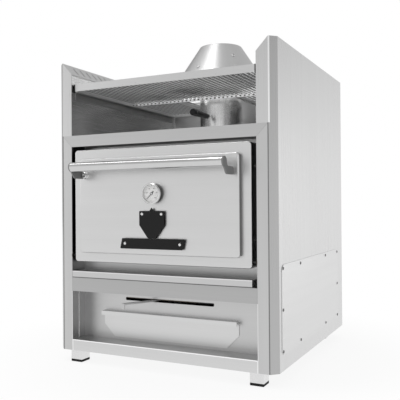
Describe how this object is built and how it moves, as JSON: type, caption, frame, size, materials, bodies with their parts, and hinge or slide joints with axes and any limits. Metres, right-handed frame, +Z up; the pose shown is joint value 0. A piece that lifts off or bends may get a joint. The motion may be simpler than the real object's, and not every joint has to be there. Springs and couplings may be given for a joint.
{
  "type": "charcoal oven",
  "caption": "Steel charcoal oven with a drop-down door, ash drawer, draft lever, drip tray, warming rack and a flue under a conical draught hood.",
  "frame": {"origin": "middle of the outline on the surface that the feet stand on", "axes": "+Z up, -Y out of the door, +X to the right of someone facing the door"},
  "size_m": [0.7291, 0.821, 1.047],
  "materials": {
    "brushed_steel": "brushed",
    "polished_steel": "polished",
    "black_paint": "satin",
    "rivet_steel": "satin",
    "black_grip": "matte",
    "rubber": "matte",
    "bronze": "satin",
    "cast_iron": "matte",
    "dark_steel": "matte",
    "wool": "matte",
    "dial_white": "satin",
    "pointer_black": "satin",
    "lens": "clear"
  },
  "bodies": {
    "cabinet": {"left_wall_skin": "brushed_steel", "left_wall_liner": "brushed_steel", "right_wall_skin": "brushed_steel", "right_wall_liner": "brushed_steel", "face_frame": "brushed_steel", "oven_front_plate": "brushed_steel", "deck": "brushed_steel", "base_plate": "brushed_steel", "back_panel": "brushed_steel", "compartment_back_wall": "brushed_steel", "legs": "brushed_steel", "leg_caps": "rubber", "firebox": "dark_steel", "firebox_insulation": "wool", "charcoal_ledges": "dark_steel", "grid_rails": "dark_steel", "charcoal_grate": "cast_iron", "cooking_grid_frame": "brushed_steel", "cooking_grid_rods": "brushed_steel", "hinge_bushes": "bronze", "drawer_guides": "brushed_steel", "lever_pivot_pin": "brushed_steel", "rack_angles": "brushed_steel", "flue_pipe": "brushed_steel", "draught_hood": "brushed_steel", "flue_outlet_collar": "brushed_steel", "hood_straps": "brushed_steel", "hood_bolts": "polished_steel", "access_cover": "brushed_steel", "cover_screws": "polished_steel"},
    "door": {"door_skin": "brushed_steel", "door_liner": "brushed_steel", "door_insulation": "wool", "door_rope_seal": "wool", "door_raised_panel": "brushed_steel", "hinge_pins": "brushed_steel", "handle_tube": "polished_steel", "left_handle_bracket": "polished_steel", "right_handle_bracket": "polished_steel", "handle_standoffs": "polished_steel", "thermometer_case": "polished_steel", "thermometer_dial": "dial_white", "thermometer_lens": "lens", "thermometer_stem": "brushed_steel", "name_plate": "black_paint", "badge_plate": "black_paint", "plate_rivets": "rivet_steel"},
    "pointer": {"thermometer_pointer": "pointer_black"},
    "tray": {"drip_tray": "brushed_steel"},
    "drawer": {"ash_drawer": "brushed_steel"},
    "lever": {"draft_lever": "brushed_steel"},
    "rack": {"rack_frame": "brushed_steel", "rack_rods_left": "brushed_steel", "rack_rods_middle": "brushed_steel", "rack_rods_right": "brushed_steel"},
    "damper": {"damper_blade": "brushed_steel", "damper_shaft": "polished_steel", "damper_grip": "black_grip"}
  },
  "joints": [
    {"name": "door_hinge", "type": "hinge", "parent": "cabinet", "child": "door", "pos_m": [0, -0.3105, 0.334], "axis": [1, 0, 0], "range_deg": [0, 90]},
    {"name": "pointer_turn", "type": "hinge", "parent": "door", "child": "pointer", "pos_m": [0, -0.3495, 0.522], "axis": [0, 1, 0], "range_deg": [0, 270], "stiffness_Nm_per_rad": 0.0005},
    {"name": "tray_slide", "type": "slide", "parent": "cabinet", "child": "tray", "axis": [0, -1, 0], "range_m": [0, 0.05]},
    {"name": "drawer_slide", "type": "slide", "parent": "cabinet", "child": "drawer", "axis": [0, -1, 0], "range_m": [0, 0.3]},
    {"name": "lever_turn", "type": "hinge", "parent": "cabinet", "child": "lever", "pos_m": [0, -0.1625, 0.2], "axis": [0, 0, 1], "range_deg": [-26, 80]},
    {"name": "rack_slide", "type": "slide", "parent": "cabinet", "child": "rack", "axis": [0, -1, 0], "range_m": [0, 0.3]},
    {"name": "damper_turn", "type": "hinge", "parent": "cabinet", "child": "damper", "pos_m": [0, 0.1375, 0.794], "axis": [0, 1, 0], "range_deg": [0, 90]}
  ]
}
